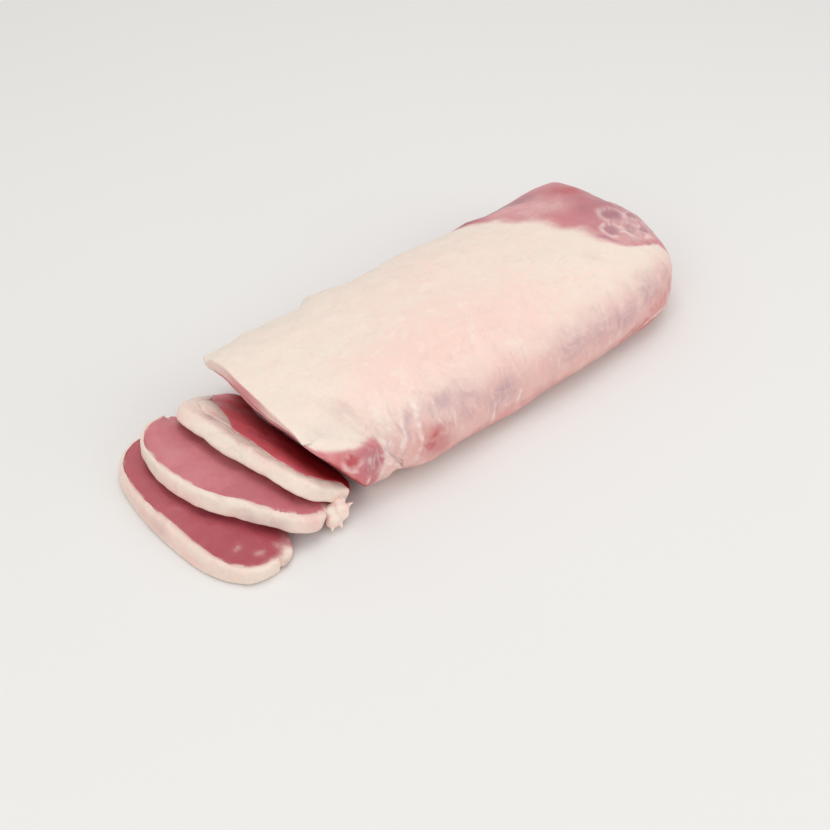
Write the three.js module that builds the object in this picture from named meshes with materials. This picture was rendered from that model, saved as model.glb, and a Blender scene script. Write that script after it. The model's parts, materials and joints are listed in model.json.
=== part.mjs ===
// A boneless pork loin with its fat cap on top, and three slices cut from its near end.
// The slices lie overlapped in the order they were cut, against the cut end.
// Millimetres, +X along the meat from the cut end to the far end, +Z up.

import * as THREE from 'three';

// ---- driving dimensions ----

const gap = 0.5;              // clearance between pieces that touch

const loin = {
  cutX: -137,                 // top edge of the cut end
  tipX: 165,                  // outermost point of the far end
  endStartX: 108,             // where the far end starts to round off
  halfWidth: 64.5,
  middleY: 12.5,
  widestZ: 20,                // height of the widest line
  crownRise: 33,              // from the widest line up to the crown
  underRise: 21.6,            // from the widest line down, more than widestZ makes the base flat
  topPower: 2.6,              // squareness of the section above the widest line
  underPower: 3.4,            // squareness below it
  tipZ: 19,
  endSkew: 0.08,              // the far end reaches further on its back side
  endTurn: 9,                 // and turns towards the back by this much
  endWidth: [3.4, 2.4],       // how the width, height and base round off at the far end
  endHeight: [2.3, 1.9],
  endBase: [5, 2],
  slimCut: 0.065,             // narrower at the cut, as a share of the width
  slimEnd: 0.03,              // and towards the far end
  unevenness: 0.01,
};

const cut = {
  straightZ: 44,              // above this height the cut face is upright
  slope: 0.85,                // below it the face leans in by this much for each mm of height
  frontSlope: 0.75,           // and by this much at the front corner
  bow: 0.0016,                // the cut edge bows towards its ends, per mm squared
  reach: 125,                 // the lean of the cut dies out over this length
};

const fatCap = {
  thickness: 6,
  sideThickness: 2.2,         // thin like a skin down the front side
  edge: 1.3,                  // thickness along its free edges
  swell: 26,                  // distance over which it grows from edge to full thickness
  ledge: 2,                   // the lean keeps low for this much beside the fat
  rise: 5,                    // and comes up to the surface over this much
  clearance: 1.06,            // and lies deeper under the fat by this share
  shoulder: 132,              // front edge at the cut, degrees round the section
  shoulderDrop: 10,           // it sinks by this much before it drops
  low: 203,                   // front edge along the rest of the side
  back: -6,                   // back edge
  dropFrom: -111,             // the front edge drops from shoulder to low between these
  dropTo: -96,
};

const backCorner = {
  middleX: 142,
  length: 22,
  height: 2.4,
  angle: 40,                  // degrees round the section, as for the flap
  spread: 26,
};

const backFlap = {
  startX: -63,
  length: 34,
  height: 5,                  // how far it stands out
  angle: 20,
  spread: 24,
};

// where the fat cap ends towards the far end: degrees round the section, X
const fatFarEdge = [
  [-6, 44], [30, 54], [46, 66], [54, 91], [62, 104], [70, 104], [80, 101],
  [92, 108], [104, 108], [116, 114], [128, 126], [140, 137], [170, 141], [203, 132],
];

const slice = {
  underPower: 4.5,            // squareness of the outline below the widest line
  edgeKeep: 0.62,             // the lower edge is this much thinner
  edgeWidth: 13,
  bandEnd: 1.5,               // thickness of the fat at its two ends
  bevel: 0.4,                 // the slanted cut makes the underside this much wider per mm
  fatGap: 0.6,
};

// foot: middle of the lower edge. turn: in plan, degrees. widest: lower edge to widest line.
// slopes: degrees, from the lower edge to the rim. fat: thickness from the back to the front.
// power: squareness of the rim at the back and at the front.
// frontLow: how much lower the front part of the rim is. hang: drop of the back and front ends.
const slices = [
  {
    name: 'slice_1', foot: [-113.4, 13.5, 1.4], turn: 5, height: 52, halfWidth: 55.5, thick: 8.6,
    widest: 18, power: [3.3, 3.7], frontLow: 0, hang: [4, 3],
    slopes: [31, 32, 31, 30, 29, 28], fat: [9.5, 10, 7.5, 6],
  },
  {
    name: 'slice_2', foot: [-133.2, 11.2, 0.9], turn: 10, height: 55.5, halfWidth: 58, thick: 8.6,
    widest: 22, power: [2.5, 2.6], frontLow: 0.36, hang: [0, 6],
    slopes: [27, 34, 14, 1, 0, -1], fat: [1.8, 2.6, 4.0, 5],
  },
  {
    name: 'slice_3', foot: [-151, 7, 0], turn: -1, height: 53.5, halfWidth: 62, thick: 8.8,
    widest: 22, power: [2.5, 2.5], frontLow: 0, hang: [0, 0],
    slopes: [0, 0, 0, 0, 0, 0], fat: [1.8, 3.2, 4.4, 2.5],
  },
];

// grid sizes
const capColumns = 24;        // round the section, over the fat cap
const capRows = 28;           // along the meat, under the fat cap
const bareColumns = 14;       // round the section, where there is no fat cap
const endRings = 9;           // from the fat's far edge to the tip
const bandColumns = 26;
const sliceBareColumns = 9;
const sliceRings = 3;

const degree = Math.PI / 180;

// ---- small helpers ----

const clamp = (v, low, high) => Math.min(high, Math.max(low, v));
const mix = (a, b, t) => a + (b - a) * t;

function smooth(t) {
  const s = clamp(t, 0, 1);
  return s * s * (3 - 2 * s);
}

function bell(v) {
  return Math.exp(-v * v);
}

// value at v on a line through [position, value] pairs, eased between them
function along(pairs, v) {
  let i = 1;
  while (i < pairs.length - 1 && pairs[i][0] < v) i += 1;
  const [v0, a] = pairs[i - 1];
  const [v1, b] = pairs[i];
  return mix(a, b, smooth((v - v0) / (v1 - v0)));
}

// a rounded box outline: distance from the middle in a direction, 1 along both axes
function roundness(angle, power) {
  const c = Math.abs(Math.cos(angle));
  const s = Math.abs(Math.sin(angle));
  return (c ** power + s ** power) ** (-1 / power);
}

// slow uneven swells, the same on every run
function uneven(u, v) {
  return Math.sin(u * 0.047 + v * 1.9) + 0.7 * Math.sin(u * 0.083 - v * 2.7 + 1.3)
    + 0.4 * Math.sin(u * 0.151 + v * 4.1 + 0.6);
}

// ---- closed solids from grids of points ----

function closedGeometry(points, faces) {
  const corners = new Float32Array(points.length * 3);
  points.forEach((p, i) => p.toArray(corners, i * 3));
  let volume = 0;
  for (const [a, b, c] of faces) {
    volume += points[a].dot(points[b].clone().cross(points[c]));
  }
  const outward = volume > 0 ? faces : faces.map(([a, b, c]) => [a, c, b]);
  const geometry = new THREE.BufferGeometry();
  geometry.setAttribute('position', new THREE.BufferAttribute(corners, 3));
  geometry.setIndex(outward.flat());
  geometry.computeVertexNormals();
  return geometry;
}

// rings of equal length joined in order, with a point closing each end
function ringSolid(startPoint, rings, endPoint) {
  const count = rings[0].length;
  const points = [startPoint, ...rings.flat(), endPoint];
  const last = points.length - 1;
  const faces = [];
  for (let j = 0; j < count; j += 1) {
    const k = (j + 1) % count;
    faces.push([0, 1 + k, 1 + j]);
    for (let i = 0; i < rings.length - 1; i += 1) {
      const a = 1 + i * count;
      const b = a + count;
      faces.push([a + j, a + k, b + k], [a + j, b + k, b + j]);
    }
    const end = 1 + (rings.length - 1) * count;
    faces.push([end + j, end + k, last]);
  }
  return closedGeometry(points, faces);
}

// a sheet with thickness: two grids of points, joined round the border
function sheetSolid(rows, columns, outer, inner) {
  const points = [];
  const faces = [];
  for (const side of [outer, inner]) {
    for (let i = 0; i <= rows; i += 1) {
      for (let j = 0; j <= columns; j += 1) points.push(side(i / rows, j / columns));
    }
  }
  const wide = columns + 1;
  const under = (rows + 1) * wide;
  for (let i = 0; i < rows; i += 1) {
    for (let j = 0; j < columns; j += 1) {
      const a = i * wide + j;
      faces.push([a, a + wide, a + wide + 1], [a, a + wide + 1, a + 1]);
      const b = a + under;
      faces.push([b, b + wide + 1, b + wide], [b, b + 1, b + wide + 1]);
    }
  }
  const border = [];
  for (let j = 0; j < columns; j += 1) border.push(j);
  for (let i = 0; i < rows; i += 1) border.push(i * wide + columns);
  for (let j = columns; j > 0; j -= 1) border.push(rows * wide + j);
  for (let i = rows; i > 0; i -= 1) border.push(i * wide);
  border.forEach((a, n) => {
    const b = border[(n + 1) % border.length];
    faces.push([a, b, b + under], [a, b + under, a + under]);
  });
  return closedGeometry(points, faces);
}

function piece(name, geometry, material) {
  const mesh = new THREE.Mesh(geometry, material);
  mesh.name = name;
  return mesh;
}

// ---- the loin ----

// a point of the whole loin's outer surface; angle in degrees, 0 at the back, 90 on top
function loinPoint(x, angle) {
  const turn = angle * degree;
  const e = clamp((x - loin.endStartX) / (loin.tipX - loin.endStartX), 0, 1);
  const [widthKeep, heightKeep, baseKeep] = [loin.endWidth, loin.endHeight, loin.endBase]
    .map(([power, root]) => (1 - e ** power) ** (1 / root));
  const nearCut = 1 - smooth((x - loin.cutX) / 70);
  const slim = 1 - loin.slimCut * nearCut - loin.slimEnd * smooth((x - 60) / 60);
  const top = Math.sin(turn) > 0;
  const round = roundness(turn, top ? loin.topPower : loin.underPower);
  const across = Math.cos(turn) * round;
  const up = Math.sin(turn) * round;
  // the far back corner stands proud where the fat was trimmed off
  const corner = backCorner.height * bell((x - backCorner.middleX) / backCorner.length)
    * bell((angle - backCorner.angle) / backCorner.spread);
  // a flap of fat folds out along the back edge
  const flap = backFlap.height * bell((angle - backFlap.angle) / backFlap.spread)
    * smooth((x - backFlap.startX) / 5) * (1 - smooth((x - backFlap.startX - 12) / backFlap.length));
  const swell = 1 + loin.unevenness * uneven(x, turn) + (corner + flap) / 50;
  const middle = loin.middleY + 2 * nearCut + loin.endTurn * e;
  const y = middle + loin.halfWidth * slim * widthKeep * across * swell;
  const tilt = 1 + 0.05 * across;
  const rise = top ? loin.crownRise * tilt * swell : loin.underRise;
  const full = Math.max(0, loin.widestZ + rise * up);
  const keep = top ? heightKeep : mix(heightKeep, baseKeep, clamp(-up * 1.6, 0, 1));
  const reach = loin.endSkew * (y - middle) * smooth(e * 1.4) * (1 - e ** 4);
  return new THREE.Vector3(x + reach, y, loin.tipZ + (full - loin.tipZ) * keep);
}

function loinNormal(x, angle) {
  const step = 0.5;
  const alongX = loinPoint(Math.min(x + step, loin.tipX - 0.1), angle)
    .sub(loinPoint(x - step, angle));
  const roundIt = loinPoint(x, angle + step).sub(loinPoint(x, angle - step));
  return roundIt.cross(alongX).normalize();
}

function fatFrontEdge(x) {
  const sink = fatCap.shoulderDrop * smooth((x - loin.cutX) / (fatCap.dropFrom - loin.cutX));
  const drop = smooth((x - fatCap.dropFrom) / (fatCap.dropTo - fatCap.dropFrom));
  return mix(fatCap.shoulder + sink, fatCap.low + 4 * Math.sin(x * 0.09), drop);
}

// distance in from the nearest edge of the fat cap, negative outside it
function insideFat(x, angle) {
  const perDegree = 0.8;
  const edgeSlope = (fatFrontEdge(x + 1) - fatFrontEdge(x - 1)) * perDegree / 2;
  return Math.min(
    (fatFrontEdge(x) - angle) * perDegree / Math.hypot(1, edgeSlope),
    (angle - fatCap.back) * perDegree,
    along(fatFarEdge, angle) - x,
  );
}

function fatDepth(x, angle) {
  const downSide = smooth((angle - 120) / 50);
  const full = mix(fatCap.thickness, fatCap.sideThickness, downSide);
  return mix(fatCap.edge, full, smooth(insideFat(x, angle) / fatCap.swell));
}

// the lean lies under the fat, and comes up to the surface beside it
function leanDepth(x, angle) {
  const inside = insideFat(x, angle);
  if (inside > -0.01) return fatDepth(x, angle) * fatCap.clearance + gap;
  return (fatCap.edge + gap) * smooth(1 + (inside + fatCap.ledge) / fatCap.rise);
}

// the leaning cut: moves points near the cut end along the loin
function leanCut(p) {
  const fade = clamp(1 - (p.x - loin.cutX) / cut.reach, 0, 1) ** 2;
  const slope = mix(cut.frontSlope, cut.slope, smooth((p.y + 50) / 40));
  const lean = Math.max(0, cut.straightZ - p.z) * slope;
  p.x += (lean + cut.bow * p.y * p.y) * fade;
  return p;
}

function loinLayer(x, angle, depth) {
  const p = loinPoint(x, angle);
  p.addScaledVector(loinNormal(x, angle), -depth);
  if (x <= loin.cutX) p.x = loin.cutX;
  return leanCut(p);
}

// settles a place of the fat cap's grid into X and an angle round the section
function capPlace(row, column) {
  let x = mix(loin.cutX, 60, row);
  let angle = 90;
  for (let n = 0; n < 12; n += 1) {
    angle = mix(fatFrontEdge(x), fatCap.back, column);
    x = mix(loin.cutX, along(fatFarEdge, angle), row);
  }
  return { x, angle };
}

// angles from one edge of the fat the other way round to the other edge
function bareAngles(from, to, columns) {
  const [first, last] = [from - 9, to + 9];
  const between = Array.from({ length: columns - 3 }, (_, n) => mix(first, last, n / (columns - 4)));
  return [from - 2.5, ...between, to + 2.5];
}

// one ring of the lean: under the fat cap's row, then on round below it
function loinRing(row) {
  const ring = [];
  for (let j = 0; j <= capColumns; j += 1) ring.push(capPlace(row, j / capColumns));
  const front = ring[0];
  const back = ring[capColumns];
  const bare = bareAngles(back.angle, front.angle - 360, bareColumns);
  for (const angle of bare) {
    const share = (back.angle - angle) / (back.angle - front.angle + 360);
    ring.push({ x: mix(back.x, front.x, smooth(share)), angle });
  }
  return ring;
}

function leanPoint({ x, angle }) {
  const wrapped = angle < -150 ? angle + 360 : angle;
  return loinLayer(x, angle, leanDepth(x, wrapped));
}

function makeLean(material) {
  const rings = [];
  const cutRing = loinRing(0).map(leanPoint);
  const middle = new THREE.Vector3(loin.cutX, loin.middleY, 23);
  for (const share of [0.3, 0.55, 0.8]) {
    rings.push(loinRing(0).map(({ x, angle }) => {
      const rim = loinPoint(x, angle).addScaledVector(loinNormal(x, angle), -fatCap.thickness);
      rim.x = loin.cutX;
      return leanCut(middle.clone().lerp(rim, share));
    }));
  }
  rings.push(cutRing);
  for (let i = 1; i <= capRows; i += 1) rings.push(loinRing(i / capRows).map(leanPoint));
  const edge = loinRing(1);
  const beyond = (place, distance) => ({ x: place.x + distance, angle: place.angle });
  rings.push(edge.map((place) => leanPoint(beyond(place, fatCap.ledge))));
  const clear = edge.map((place) => beyond(place, fatCap.ledge + fatCap.rise));
  for (let i = 0; i < endRings; i += 1) {
    const share = Math.sin((i / endRings) * Math.PI / 2);
    rings.push(clear.map(({ x, angle }) => leanPoint({ x: mix(x, loin.tipX, share), angle })));
  }
  const tip = loinPoint(loin.tipX, 0);
  return piece('loin_lean', ringSolid(leanCut(middle), rings, tip), material);
}

function makeFatCap(material) {
  const layer = (depth) => (row, column) => {
    const { x, angle } = capPlace(row, column);
    return loinLayer(x, angle, depth(x, angle));
  };
  const geometry = sheetSolid(capRows, capColumns, layer(() => 0), layer(fatDepth));
  return piece('loin_fat_cap', geometry, material);
}

// ---- the slices ----

// a place in the flat slice to its place in the stack: across, up the slice, through it
function laySlice(cutPiece, across, up, through) {
  const steps = 24;
  let x = 0;
  let z = cutPiece.foot[2];
  let slope = 0;
  const slopes = cutPiece.slopes.map((s, i) => [i / (cutPiece.slopes.length - 1), s]);
  for (let n = 0; n < steps; n += 1) {
    slope = along(slopes, ((n + 0.5) / steps) * (up / cutPiece.height)) * degree;
    x -= (Math.cos(slope) * up) / steps;
    z += (Math.sin(slope) * up) / steps;
  }
  const under = z - cutPiece.foot[2];
  const thin = mix(slice.edgeKeep, 1, smooth(up / slice.edgeWidth));
  x += through * thin * Math.sin(slope);
  z += through * thin * Math.cos(slope);
  // the two ends sag where they reach out over the slice below
  const [backHang, frontHang] = cutPiece.hang;
  const sag = backHang * smooth((across - 36) / 22) + frontHang * smooth((-across - 42) / 20);
  z -= sag * clamp(under / cutPiece.thick, 0, 1);
  const p = new THREE.Vector3(x, across, z);
  p.applyAxisAngle(new THREE.Vector3(0, 0, 1), cutPiece.turn * degree);
  return p.add(new THREE.Vector3(cutPiece.foot[0], cutPiece.foot[1], 0));
}

// the slice's outline; angle as on the loin, inset moves it inwards
function sliceOutline(cutPiece, angle, inset, through) {
  const turn = angle * degree;
  const top = Math.sin(turn) > 0;
  const [backPower, frontPower] = cutPiece.power;
  const power = mix(backPower, frontPower, smooth((angle - 60) / 60));
  const round = roundness(turn, top ? power : slice.underPower);
  const wave = 0.5 * uneven(cutPiece.foot[0] * 9, turn);
  const bevel = top ? slice.bevel * through * smooth((angle - 20) / 70) : 0;
  const lowFront = 1 - cutPiece.frontLow * clamp(-Math.cos(turn), 0, 1);
  const rise = (top ? (cutPiece.height - cutPiece.widest) * lowFront : cutPiece.widest) + wave - bevel;
  const across = (cutPiece.halfWidth + wave) * round * Math.cos(turn);
  const up = rise * round * Math.sin(turn);
  const keep = 1 - inset / Math.hypot(across, up);
  return new THREE.Vector2(across * keep, cutPiece.widest + up * keep);
}

const layOutline = (cutPiece, spot, through) => laySlice(cutPiece, spot.x, spot.y, through);

// the fat round the rim, from the front end of the slice over the top to its back end
const bandFront = 186;
const bandBack = -4;

function bandDepth(cutPiece, angle) {
  const share = clamp((angle - bandBack) / (bandFront - bandBack), 0, 1);
  const steps = cutPiece.fat.map((depth, i) => [i / (cutPiece.fat.length - 1), depth]);
  const ends = smooth(Math.min(share, 1 - share) / 0.07);
  return mix(slice.bandEnd, along(steps, share), ends);
}

function makeSliceLean(cutPiece, material) {
  const spots = [];
  for (let j = 0; j <= bandColumns; j += 1) {
    const angle = mix(bandFront, bandBack, j / bandColumns);
    spots.push({ angle, depth: bandDepth(cutPiece, angle) + slice.fatGap });
  }
  for (const angle of bareAngles(bandBack, bandFront - 360, sliceBareColumns)) {
    const beside = Math.min(bandBack - angle, angle - bandFront + 360);
    spots.push({ angle, depth: (slice.bandEnd + slice.fatGap) * smooth((8 - beside) / 5) });
  }
  const centre = new THREE.Vector2(0, cutPiece.widest);
  const ring = (share, through) => spots.map(({ angle, depth }) => {
    const spot = sliceOutline(cutPiece, angle, depth, through);
    return layOutline(cutPiece, centre.clone().lerp(spot, share), through);
  });
  const shares = Array.from({ length: sliceRings }, (_, i) => (i + 1) / sliceRings);
  const thick = cutPiece.thick;
  const rings = [
    ...shares.map((share) => ring(share, thick)),
    ring(1, thick / 2),
    ...shares.reverse().map((share) => ring(share, 0)),
  ];
  const start = layOutline(cutPiece, centre, thick);
  const end = layOutline(cutPiece, centre, 0);
  return piece(`${cutPiece.name}_lean`, ringSolid(start, rings, end), material);
}

function makeSliceFat(cutPiece, material) {
  const wall = (depthAt) => (row, column) => {
    const angle = mix(bandFront, bandBack, column);
    const through = row * cutPiece.thick;
    return layOutline(cutPiece, sliceOutline(cutPiece, angle, depthAt(angle), through), through);
  };
  const inner = wall((angle) => bandDepth(cutPiece, angle));
  return piece(`${cutPiece.name}_fat`, sheetSolid(2, bandColumns, wall(() => 0), inner), material);
}

// ---- the whole ----

const leanMaterial = new THREE.MeshStandardMaterial({ color: 0xb9586a, roughness: 0.42, metalness: 0 });
const fatMaterial = new THREE.MeshStandardMaterial({ color: 0xf0dccf, roughness: 0.5, metalness: 0 });

const pork = new THREE.Group();
pork.add(makeLean(leanMaterial.clone()), makeFatCap(fatMaterial.clone()));
for (const cutPiece of slices) {
  pork.add(makeSliceLean(cutPiece, leanMaterial.clone()), makeSliceFat(cutPiece, fatMaterial.clone()));
}

// the origin is the middle of the underside of the whole
const box = new THREE.Box3().setFromObject(pork);
for (const mesh of pork.children) {
  mesh.geometry.translate(-(box.min.x + box.max.x) / 2, -(box.min.y + box.max.y) / 2, -box.min.z);
}

export default pork;
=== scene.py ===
import json
import math
import bpy
import numpy as np
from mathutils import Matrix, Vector, kdtree, noise
from mathutils.bvhtree import BVHTree

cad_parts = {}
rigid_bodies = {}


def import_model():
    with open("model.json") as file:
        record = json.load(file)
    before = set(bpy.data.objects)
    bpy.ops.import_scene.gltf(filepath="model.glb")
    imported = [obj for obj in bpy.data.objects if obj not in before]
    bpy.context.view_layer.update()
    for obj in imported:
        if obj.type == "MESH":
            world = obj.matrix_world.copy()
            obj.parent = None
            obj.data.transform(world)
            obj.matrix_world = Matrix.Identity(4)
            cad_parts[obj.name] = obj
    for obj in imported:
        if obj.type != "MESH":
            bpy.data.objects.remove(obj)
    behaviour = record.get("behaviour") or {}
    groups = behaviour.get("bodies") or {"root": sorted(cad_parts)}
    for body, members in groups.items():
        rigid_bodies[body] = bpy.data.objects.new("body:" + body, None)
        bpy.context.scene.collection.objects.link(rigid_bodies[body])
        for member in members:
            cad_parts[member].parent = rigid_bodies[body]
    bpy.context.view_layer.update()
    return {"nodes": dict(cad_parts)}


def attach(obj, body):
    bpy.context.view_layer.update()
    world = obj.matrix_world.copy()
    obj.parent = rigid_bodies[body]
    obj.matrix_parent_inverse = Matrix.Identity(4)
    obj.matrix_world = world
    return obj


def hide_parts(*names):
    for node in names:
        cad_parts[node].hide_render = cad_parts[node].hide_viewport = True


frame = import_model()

millimetre = 0.001
tuck = 0.25  # mm by which a rim lies inside its neighbour


# selecting and changing meshes

def deselectAll():
    if bpy.context.object and bpy.context.object.mode != "OBJECT":
        bpy.ops.object.mode_set(mode="OBJECT")
    bpy.ops.object.select_all(action="DESELECT")


def pick(piece):
    deselectAll()
    piece.select_set(True)
    bpy.context.view_layer.objects.active = piece


def pickFaces(piece, wanted):
    # selects the faces whose middle and normal are wanted, and stays in edit mode
    pick(piece)
    bpy.ops.object.mode_set(mode="EDIT")
    bpy.ops.mesh.select_mode(type="FACE")
    bpy.ops.mesh.select_all(action="DESELECT")
    bpy.ops.object.mode_set(mode="OBJECT")
    for face in piece.data.polygons:
        face.select = wanted(face.center / millimetre, face.normal)
    bpy.ops.object.mode_set(mode="EDIT")


def applyModifier(piece, kind, **settings):
    pick(piece)
    modifier = piece.modifiers.new(kind.lower(), kind)
    for name, value in settings.items():
        setattr(modifier, name, value)
    bpy.ops.object.modifier_apply(modifier=modifier.name)


def fromSolid(nodeName, pieceName):
    # a merged copy of a solid, in quads
    pick(frame["nodes"][nodeName])
    bpy.ops.object.duplicate()
    piece = bpy.context.view_layer.objects.active
    piece.name = pieceName
    piece.data.name = pieceName
    piece.parent = None
    for key in list(piece.keys()):
        del piece[key]
    piece.data.materials.clear()
    pick(piece)
    bpy.ops.mesh.customdata_custom_splitnormals_clear()
    bpy.ops.object.mode_set(mode="EDIT")
    bpy.ops.mesh.select_all(action="SELECT")
    bpy.ops.mesh.remove_doubles(threshold=0.00001)
    bpy.ops.mesh.tris_convert_to_quads(face_threshold=math.radians(60),
                                       shape_threshold=math.radians(120))
    bpy.ops.object.mode_set(mode="OBJECT")
    return piece


def creaseBorder(piece, wanted, amount):
    # keeps the edge round the wanted faces sharp under subdivision
    pickFaces(piece, wanted)
    bpy.ops.mesh.region_to_loop()
    bpy.ops.transform.edge_crease(value=amount)
    bpy.ops.object.mode_set(mode="OBJECT")


def creaseSharp(piece, angle, amount, skin):
    # keeps the sharp edges that lie on a neighbour's skin sharp under subdivision
    pick(piece)
    bpy.ops.object.mode_set(mode="EDIT")
    bpy.ops.mesh.select_mode(type="EDGE")
    bpy.ops.mesh.select_all(action="DESELECT")
    bpy.ops.mesh.edges_select_sharp(sharpness=math.radians(angle))
    bpy.ops.object.mode_set(mode="OBJECT")
    for edge in piece.data.edges:
        ends = [piece.data.vertices[i].co for i in edge.vertices]
        if edge.select and skin.find_nearest((ends[0] + ends[1]) / 2, 0.8 * millimetre)[0] is None:
            edge.select = False
    bpy.ops.object.mode_set(mode="EDIT")
    bpy.ops.transform.edge_crease(value=amount)
    bpy.ops.object.mode_set(mode="OBJECT")


def besideLine(place, corners):
    # how far a place lies from a line through the corners, in mm
    best = math.inf
    for a, b in zip(corners[:-1], corners[1:]):
        run = Vector(b) - Vector(a)
        t = min(1, max(0, (place - Vector(a)).dot(run) / run.length_squared))
        best = min(best, (place - Vector(a) - run * t).length)
    return best


def relax(piece, wanted, times):
    # evens out a patch
    pickFaces(piece, wanted)
    bpy.ops.mesh.vertices_smooth(factor=0.5, repeat=times)
    bpy.ops.object.mode_set(mode="OBJECT")


def refine(piece, levels):
    applyModifier(piece, "SUBSURF", levels=levels, render_levels=levels)
    bpy.ops.object.shade_smooth()


def stand(piece, nodeName, finish):
    # the piece takes the solid's place
    piece.data.materials.append(finish)
    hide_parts(nodeName)
    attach(piece, "root")


# arrays of a mesh's points, in mm

def places(piece):
    flat = np.empty(len(piece.data.vertices) * 3)
    piece.data.vertices.foreach_get("co", flat)
    return flat.reshape(-1, 3) / millimetre


def directions(piece):
    flat = np.empty(len(piece.data.vertices) * 3)
    piece.data.vertices.foreach_get("normal", flat)
    return flat.reshape(-1, 3)


def putBack(piece, points):
    points[:, 2] = np.maximum(points[:, 2], 0)
    piece.data.vertices.foreach_set("co", (points * millimetre).ravel())
    piece.data.update()


def skinOf(piece):
    corners = [vertex.co[:] for vertex in piece.data.vertices]
    faces = [face.vertices[:] for face in piece.data.polygons]
    return BVHTree.FromPolygons(corners, faces)


def distanceTo(points, skin, reach):
    # how far each point is from a skin, at most reach
    found = [skin.find_nearest(Vector(p) * millimetre, reach * millimetre)[3] for p in points]
    return np.array([reach if d is None else d / millimetre for d in found])


def treeOf(points):
    tree = kdtree.KDTree(len(points))
    for i, point in enumerate(points):
        tree.insert(point, i)
    tree.balance()
    return tree


def smooth(t):
    s = np.clip(t, 0, 1)
    return s * s * (3 - 2 * s)


def lumps(points, size, seed):
    # slow noise, about -1 to 1, with lumps of that size in mm
    shift = Vector((seed * 17.3, seed * -9.1, seed * 4.7))
    return np.array([noise.noise(Vector(p) / size + shift) for p in points])


def wander(points, size, seed):
    return np.stack([lumps(points, size, seed + 0.37 * axis) for axis in range(3)], 1)


def makeUneven(piece, layers, floorFade=5):
    # layers are (size, height, seed); pieces that touch share them, so that they stay together
    points = places(piece)
    drift = sum(height * wander(points, size, seed) for size, height, seed in layers)
    putBack(piece, points + drift * smooth(points[:, 2] / floorFade)[:, None])


def swell(piece, layers, floorFade=5):
    # moves the surface in and out by layers of (size, height, seed)
    points = places(piece)
    lift = sum(height * lumps(points, size, seed) for size, height, seed in layers)
    putBack(piece, points + directions(piece) * (lift * smooth(points[:, 2] / floorFade))[:, None])


def bulge(piece, place, radius, move):
    # pulls the part of a piece that is near a place
    points = places(piece)
    share = np.exp(-(((points - np.array(place, float)) / np.array(radius, float)) ** 2).sum(1))
    putBack(piece, points + share[:, None] * np.array(move, float))


def closeOn(piece, skin, reach, wanted=None):
    # moves a rim just inside its neighbour, so that no gap shows
    points = places(piece)
    chosen = np.ones(len(points), bool) if wanted is None else wanted
    for i in np.flatnonzero(chosen):
        spot, normal, _, _ = skin.find_nearest(Vector(points[i]) * millimetre, reach * millimetre)
        if spot is not None:
            points[i] = np.array(spot / millimetre - normal * tuck)
    putBack(piece, points)


def lineDistance(points, corners):
    # the same for many points, and how far along the line each lies, 0 to 1
    best = np.full(len(points), 1e9)
    share = np.zeros(len(points))
    corners = np.array(corners, float)
    for i, (a, b) in enumerate(zip(corners[:-1], corners[1:])):
        t = np.clip(((points - a) @ (b - a)) / ((b - a) @ (b - a)), 0, 1)
        d = np.linalg.norm(points - (a + t[:, None] * (b - a)), axis=1)
        share = np.where(d < best, (i + t) / (len(corners) - 1), share)
        best = np.minimum(best, d)
    return best, share


def raiseLines(piece, lines, seed):
    # raises ridges along wandering lines of (corners, width, height), and sinks grooves where
    # the height is below 0; returns how much of a line each point is
    points = places(piece)
    moved = points + wander(points, 7, seed) * 1.3 + wander(points, 2.6, seed + 7) * 0.5
    thick = 1 + 0.6 * lumps(points, 5, seed + 3)
    broken = smooth(0.75 + 0.9 * lumps(points, 4, seed + 9))
    taper = 0.25  # share of the line's length that fades out at each end
    most = np.zeros(len(points))
    lift = np.zeros(len(points))
    for corners, width, height in lines:
        away, share = lineDistance(moved, corners)
        ends = smooth(share / taper) * smooth((1 - share) / taper)
        ridge = np.exp(-(away / (width * thick)) ** 2) * (0.2 + 0.8 * ends) * broken
        lift = np.where(abs(ridge * height) > abs(lift), ridge * height, lift)
        most = np.maximum(most, ridge)
    putBack(piece, points + directions(piece) * lift[:, None])
    return most


def raiseRings(piece, rings, seed):
    # low round films: a raised outline about a slightly sunken disc; returns both
    points = places(piece)
    moved = points + wander(points, 6, seed) * 1.3 + wander(points, 2.4, seed + 7) * 0.4
    outline = np.zeros(len(points))
    disc = np.zeros(len(points))
    for place, radius in rings:
        away = np.linalg.norm(moved - np.array(place, float), axis=1) / radius
        outline = np.maximum(outline, np.exp(-((away - 1) / 0.2) ** 2))
        disc = np.maximum(disc, smooth((1 - away) / 0.3))
    outline = outline * smooth(0.7 + 1.2 * lumps(points, 5, seed + 9))
    lift = 0.45 * outline - 0.2 * disc
    putBack(piece, points + directions(piece) * lift[:, None])
    return outline, disc * (1 - outline)


def spotted(points, spots, seed, ragged=4):
    # how much of a spot each point is in; spots are (place, radius, strength), ragged by some mm
    moved = points + wander(points, 9, seed) * ragged
    moved = moved + wander(points, 3.2, seed + 5) * ragged * 0.35
    clear = np.ones(len(points))
    for place, radius, strength in spots:
        offset = (moved - np.array(place, float)) / np.array(radius, float)
        clear *= 1 - strength * np.exp(-(offset ** 2).sum(1))
    return 1 - clear


def tint(piece, name, values):
    # paints a value on each point, for the material to read
    attribute = piece.data.attributes.get(name) or piece.data.attributes.new(name, "FLOAT", "POINT")
    attribute.data.foreach_set("value", np.ascontiguousarray(values, dtype=np.float32))


# materials

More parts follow.
